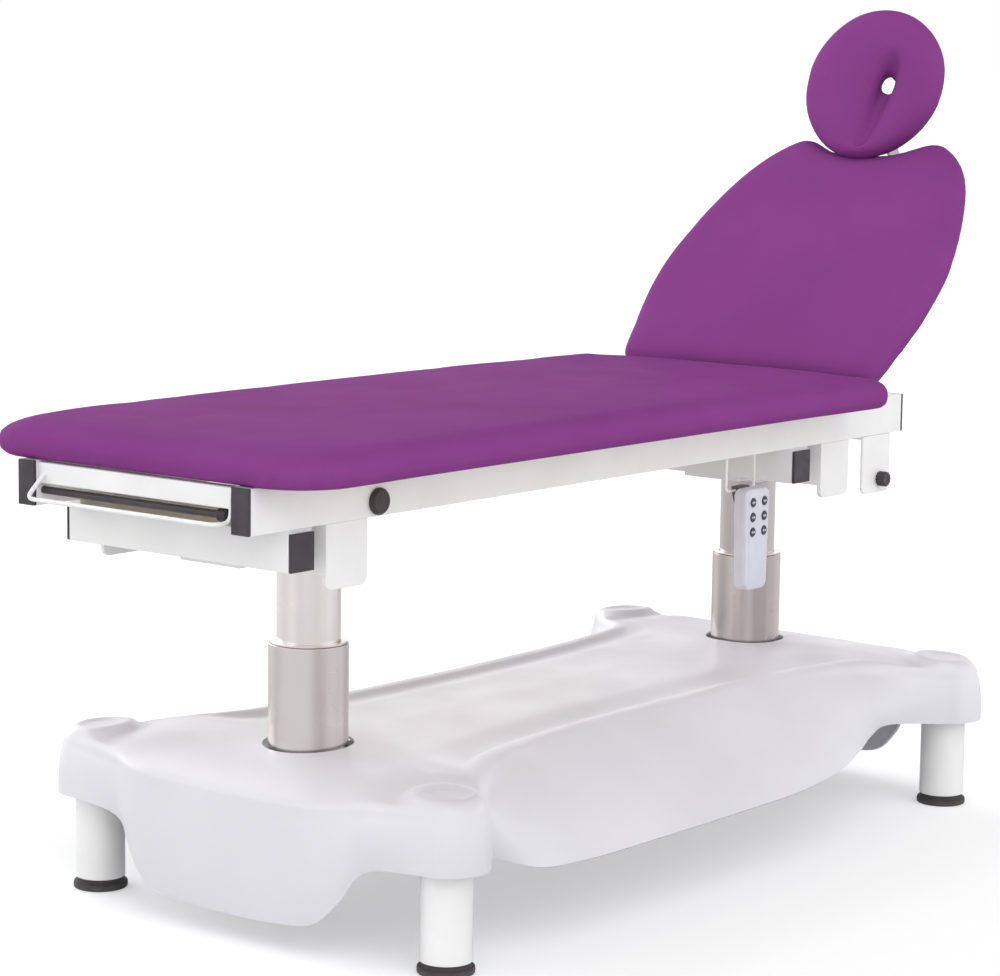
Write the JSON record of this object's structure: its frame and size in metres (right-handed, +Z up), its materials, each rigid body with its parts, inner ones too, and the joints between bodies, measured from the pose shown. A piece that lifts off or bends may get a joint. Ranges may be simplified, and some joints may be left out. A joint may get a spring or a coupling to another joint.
{
  "type": "examination table",
  "caption": "Height-adjustable examination table: two-column lift on a moulded base, flat padded seat, hinged backrest, tilting ring headrest with face opening, hanging remote control.",
  "frame": {"origin": "On the floor, under the middle of the whole table in the pose of the picture.", "axes": "+X runs from the foot end to the head end, +Y from the side with the remote control to the far side, +Z up."},
  "size_m": [1.8413, 0.7728, 1.2635],
  "materials": {
    "cover_plastic": "satin pale grey moulded plastic",
    "white_enamel": "smooth white powder coat",
    "foot_rubber": "matte black rubber",
    "column_steel": "brushed stainless steel, grain round the tube",
    "dark_plastic": "matte dark plastic",
    "cast_housing": "grey painted casting",
    "zinc_steel": "bright zinc-plated steel",
    "purple_vinyl": "soft purple upholstery vinyl with fine grain",
    "plywood": "plain birch plywood",
    "handset_plastic": "matte light grey plastic",
    "button_plastic": "matte navy membrane plastic"
  },
  "bodies": {
    "base": {"base_cover": "cover_plastic", "chassis_spine": "white_enamel", "chassis_beam_foot": "white_enamel", "chassis_beam_head": "white_enamel", "leg_foot_near": "white_enamel", "leg_foot_far": "white_enamel", "leg_head_near": "white_enamel", "leg_head_far": "white_enamel", "foot_pad_foot_near": "foot_rubber", "foot_pad_foot_far": "foot_rubber", "foot_pad_head_near": "foot_rubber", "foot_pad_head_far": "foot_rubber", "column_outer_foot": "column_steel", "column_guide_foot": "column_steel", "lift_motor_foot": "cast_housing", "column_outer_head": "column_steel", "column_guide_head": "column_steel", "lift_motor_head": "cast_housing"},
    "top_frame": {"column_inner_foot": "column_steel", "column_inner_head": "column_steel", "head_bracket_foot": "white_enamel", "head_bracket_head": "white_enamel", "cross_tube_foot": "white_enamel", "cross_tube_head": "white_enamel", "cross_tube_cap_foot_near": "dark_plastic", "cross_tube_cap_foot_far": "dark_plastic", "cross_tube_cap_head_near": "dark_plastic", "cross_tube_cap_head_far": "dark_plastic", "side_rail_near": "white_enamel", "side_rail_far": "white_enamel", "rail_cap_foot_near": "dark_plastic", "rail_cap_foot_far": "dark_plastic", "rail_cap_head_near": "dark_plastic", "rail_cap_head_far": "dark_plastic", "rail_plug_near": "dark_plastic", "rail_plug_far": "dark_plastic", "foot_cross_bar": "white_enamel", "seat_board": "plywood", "seat_cushion": "purple_vinyl", "handset_loop": "white_enamel", "clamp_bracket": "white_enamel", "actuator_bar": "white_enamel", "actuator_body": "cast_housing"},
    "backrest": {"backrest_frame": "white_enamel", "backrest_board": "plywood", "backrest_cushion": "purple_vinyl"},
    "headrest_slide": {"headrest_slide": "zinc_steel"},
    "headrest": {"headrest_board": "dark_plastic", "headrest_cushion": "purple_vinyl"},
    "actuator_rod": {"actuator_rod": "zinc_steel"},
    "paper_rod": {"paper_rod": "dark_plastic"},
    "clamp_knob": {"clamp_knob": "dark_plastic"},
    "handset": {"handset_body": "handset_plastic"},
    "handset_button_1a": {"handset_button_1a": "button_plastic"},
    "handset_button_1b": {"handset_button_1b": "button_plastic"},
    "handset_button_2a": {"handset_button_2a": "button_plastic"},
    "handset_button_2b": {"handset_button_2b": "button_plastic"},
    "handset_button_3a": {"handset_button_3a": "button_plastic"},
    "handset_button_3b": {"handset_button_3b": "button_plastic"}
  },
  "joints": [
    {"name": "column_lift", "type": "slide", "parent": "base", "child": "top_frame", "axis": [0, 0, 1], "range_m": [-0.085, 0.16]},
    {"name": "backrest_tilt", "type": "hinge", "parent": "top_frame", "child": "backrest", "pos_m": [0.48178, 0, 0.65], "axis": [0, -1, 0], "range_deg": [-43, 17]},
    {"name": "actuator_stroke", "type": "slide", "parent": "top_frame", "child": "actuator_rod", "axis": [1, 0, 0], "range_m": [-0.02644, 0.01051]},
    {"name": "headrest_extension", "type": "slide", "parent": "backrest", "child": "headrest_slide", "axis": [0.7314, 0, 0.682], "range_m": [0, 0.09]},
    {"name": "headrest_tilt", "type": "hinge", "parent": "headrest_slide", "child": "headrest", "pos_m": [0.86294, 0, 1.05056], "axis": [0, -1, 0], "range_deg": [-60, 0]},
    {"name": "paper_rod_turn", "type": "hinge", "parent": "top_frame", "child": "paper_rod", "pos_m": [-0.88422, 0, 0.61], "axis": [0, 1, 0], "continuous": true},
    {"name": "clamp_knob_turn", "type": "hinge", "parent": "top_frame", "child": "clamp_knob", "pos_m": [0.57278, -0.21, 0.5187], "axis": [0, 1, 0], "continuous": true},
    {"name": "handset_lift_off", "type": "slide", "parent": "top_frame", "child": "handset", "axis": [0, 0, 1], "range_m": [0, 0.04]},
    {"name": "press_1a", "type": "slide", "parent": "handset", "child": "handset_button_1a", "axis": [0, 1, 0], "range_m": [0, 0.001], "stiffness_N_per_m": 400},
    {"name": "press_1b", "type": "slide", "parent": "handset", "child": "handset_button_1b", "axis": [0, 1, 0], "range_m": [0, 0.001], "stiffness_N_per_m": 400},
    {"name": "press_2a", "type": "slide", "parent": "handset", "child": "handset_button_2a", "axis": [0, 1, 0], "range_m": [0, 0.001], "stiffness_N_per_m": 400},
    {"name": "press_2b", "type": "slide", "parent": "handset", "child": "handset_button_2b", "axis": [0, 1, 0], "range_m": [0, 0.001], "stiffness_N_per_m": 400},
    {"name": "press_3a", "type": "slide", "parent": "handset", "child": "handset_button_3a", "axis": [0, 1, 0], "range_m": [0, 0.001], "stiffness_N_per_m": 400},
    {"name": "press_3b", "type": "slide", "parent": "handset", "child": "handset_button_3b", "axis": [0, 1, 0], "range_m": [0, 0.001], "stiffness_N_per_m": 400}
  ],
  "couplings": [
    {"joint": "actuator_stroke", "follows": "backrest_tilt", "m_per_rad": 0.0351}
  ]
}
